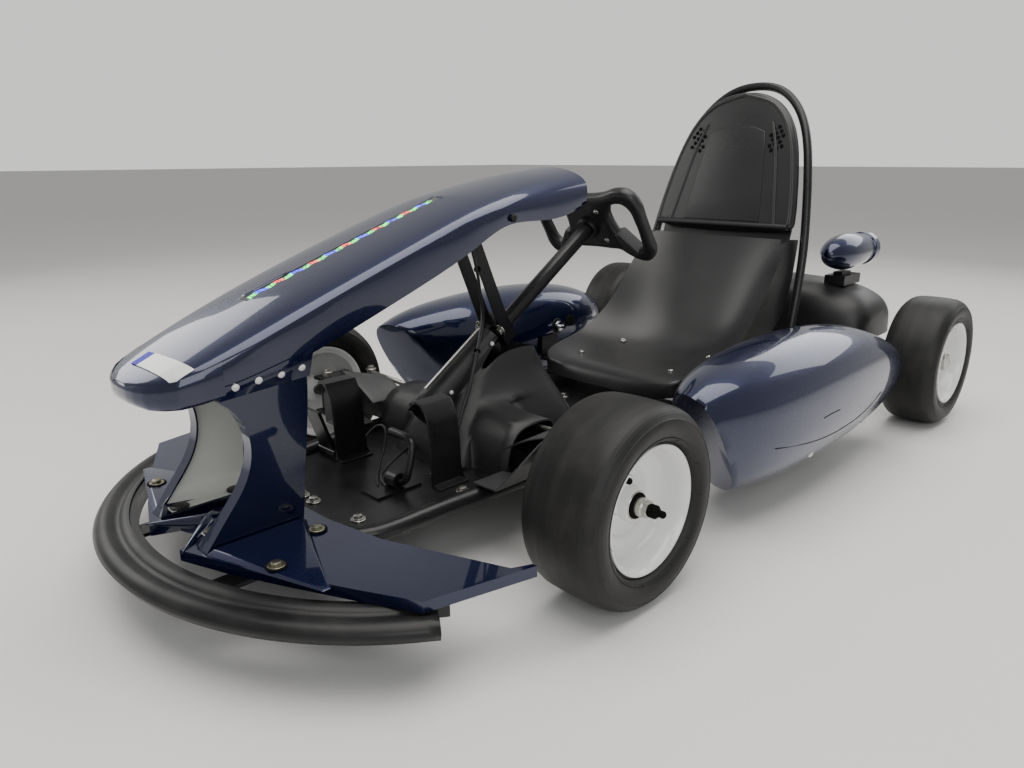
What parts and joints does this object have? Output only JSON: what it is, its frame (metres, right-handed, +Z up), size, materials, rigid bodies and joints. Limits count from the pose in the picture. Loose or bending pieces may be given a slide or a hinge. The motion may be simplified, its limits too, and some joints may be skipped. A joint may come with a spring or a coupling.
{
  "type": "kart chassis",
  "caption": "Children's electric kart: tube chassis with steered front wheels, a chain-driven rear axle, bucket seat with hoop, side pods, hood and pedals.",
  "frame": {"origin": "on the floor, below the centre of the kart's box", "axes": "+X to the kart's left, -Y forwards, +Z up"},
  "size_m": [0.876, 1.6112, 0.6813],
  "materials": {
    "midnight_blue_paint": "gloss metallic",
    "black_powder_coat": "satin",
    "black_plastic": "satin",
    "tyre_rubber": "matte",
    "bumper_rubber": "satin",
    "white_rim_enamel": "gloss",
    "zinc_steel": "satin",
    "light_lens": "gloss",
    "battery_case": "matte",
    "grey_guard": "satin"
  },
  "bodies": {
    "chassis": {"axle_bearing_left": "black_powder_coat", "axle_bearing_right": "black_powder_coat", "battery_pack": "battery_case", "brake_caliper": "black_powder_coat", "bumper_bar": "black_powder_coat", "bumper_rubber": "bumper_rubber", "column_post": "black_powder_coat", "drive_chain": "black_powder_coat", "drive_motor": "black_powder_coat", "floor_pan": "black_powder_coat", "foot_guard_left": "grey_guard", "foot_guard_right": "grey_guard", "front_axle_beam": "black_powder_coat", "headrest_panel": "black_plastic", "hood": "midnight_blue_paint", "hood_leg_left": "midnight_blue_paint", "hood_leg_right": "midnight_blue_paint", "kingpin_left": "zinc_steel", "kingpin_right": "zinc_steel", "light_strip": "light_lens", "motor_controller": "zinc_steel", "pedal_bracket": "black_powder_coat", "pod_cross_bar": "black_powder_coat", "rail_left": "black_powder_coat", "rail_right": "black_powder_coat", "rear_cover": "black_plastic", "rear_cross_tube": "black_powder_coat", "seat_hoop": "black_powder_coat", "seat_shell": "black_plastic", "side_pod_left": "midnight_blue_paint", "side_pod_right": "midnight_blue_paint", "splitter": "midnight_blue_paint", "steering_strut_left": "black_powder_coat", "steering_strut_right": "black_powder_coat", "tail_pod_left": "midnight_blue_paint", "tail_pod_right": "midnight_blue_paint", "toe_hoop_left": "black_powder_coat", "toe_hoop_right": "black_powder_coat", "tower_cover": "black_plastic"},
    "steering": {"steering_shaft": "black_powder_coat", "steering_wheel": "black_plastic"},
    "knuckle_left": {"knuckle_left": "black_powder_coat"},
    "knuckle_right": {"knuckle_right": "black_powder_coat"},
    "tie_rod_left": {"tie_rod_left": "zinc_steel"},
    "tie_rod_right": {"tie_rod_right": "zinc_steel"},
    "front_wheel_left": {"rim_front_left": "white_rim_enamel", "tyre_front_left": "tyre_rubber"},
    "front_wheel_right": {"rim_front_right": "white_rim_enamel", "tyre_front_right": "tyre_rubber"},
    "rear_wheels": {"rear_axle": "zinc_steel", "rim_rear_left": "white_rim_enamel", "rim_rear_right": "white_rim_enamel", "tyre_rear_left": "tyre_rubber", "tyre_rear_right": "tyre_rubber", "rear_sprocket": "zinc_steel", "brake_disc": "zinc_steel"},
    "motor_sprocket": {"motor_sprocket": "zinc_steel"},
    "brake_pedal": {"brake_pedal": "black_powder_coat"},
    "throttle_pedal": {"throttle_pedal": "black_powder_coat"},
    "key_switch": {"key_switch": "zinc_steel"}
  },
  "joints": [
    {"name": "steering_turn", "type": "hinge", "parent": "chassis", "child": "steering", "pos_m": [0, 0.0366, 0.418], "axis": [0, 0.8339, 0.5519], "range_deg": [-26, 26]},
    {"name": "knuckle_left_turn", "type": "hinge", "parent": "chassis", "child": "knuckle_left", "pos_m": [0.29, -0.3324, 0.128], "axis": [0, 0, 1], "range_deg": [-13.3, 13.3]},
    {"name": "knuckle_right_turn", "type": "hinge", "parent": "chassis", "child": "knuckle_right", "pos_m": [-0.29, -0.3324, 0.128], "axis": [0, 0, 1], "range_deg": [-13.3, 13.3]},
    {"name": "tie_rod_left_turn", "type": "hinge", "parent": "knuckle_left", "child": "tie_rod_left", "pos_m": [0.284, -0.2444, 0.15], "axis": [0, 0, 1], "range_deg": [-13.3, 13.3]},
    {"name": "tie_rod_right_turn", "type": "hinge", "parent": "knuckle_right", "child": "tie_rod_right", "pos_m": [-0.284, -0.2444, 0.15], "axis": [0, 0, 1], "range_deg": [-13.3, 13.3]},
    {"name": "front_wheel_left_spin", "type": "hinge", "parent": "knuckle_left", "child": "front_wheel_left", "pos_m": [0.352, -0.3324, 0.128], "axis": [1, 0, 0], "continuous": true},
    {"name": "front_wheel_right_spin", "type": "hinge", "parent": "knuckle_right", "child": "front_wheel_right", "pos_m": [-0.352, -0.3324, 0.128], "axis": [1, 0, 0], "continuous": true},
    {"name": "rear_axle_spin", "type": "hinge", "parent": "chassis", "child": "rear_wheels", "pos_m": [0, 0.6566, 0.128], "axis": [1, 0, 0], "continuous": true},
    {"name": "motor_sprocket_spin", "type": "hinge", "parent": "chassis", "child": "motor_sprocket", "pos_m": [0.088, 0.7426, 0.152], "axis": [1, 0, 0], "continuous": true},
    {"name": "brake_pedal_press", "type": "hinge", "parent": "chassis", "child": "brake_pedal", "pos_m": [0.06, -0.4504, 0.1025], "axis": [1, 0, 0], "range_deg": [0, 15], "stiffness_Nm_per_rad": 6, "springref_deg": -11.46},
    {"name": "throttle_pedal_press", "type": "hinge", "parent": "chassis", "child": "throttle_pedal", "pos_m": [-0.118, -0.4444, 0.0975], "axis": [1, 0, 0], "range_deg": [0, 15], "stiffness_Nm_per_rad": 4, "springref_deg": -11.46},
    {"name": "key_switch_turn", "type": "hinge", "parent": "chassis", "child": "key_switch", "pos_m": [-0.239, 0.2236, 0.1725], "axis": [1, 0, 0], "range_deg": [0, 60]}
  ],
  "couplings": [
    {"joint": "knuckle_left_turn", "follows": "steering_turn", "ratio": 0.5},
    {"joint": "knuckle_right_turn", "follows": "steering_turn", "ratio": 0.5},
    {"joint": "tie_rod_left_turn", "follows": "steering_turn", "ratio": -0.5},
    {"joint": "tie_rod_right_turn", "follows": "steering_turn", "ratio": -0.5},
    {"joint": "motor_sprocket_spin", "follows": "rear_axle_spin", "ratio": 3.4375}
  ]
}
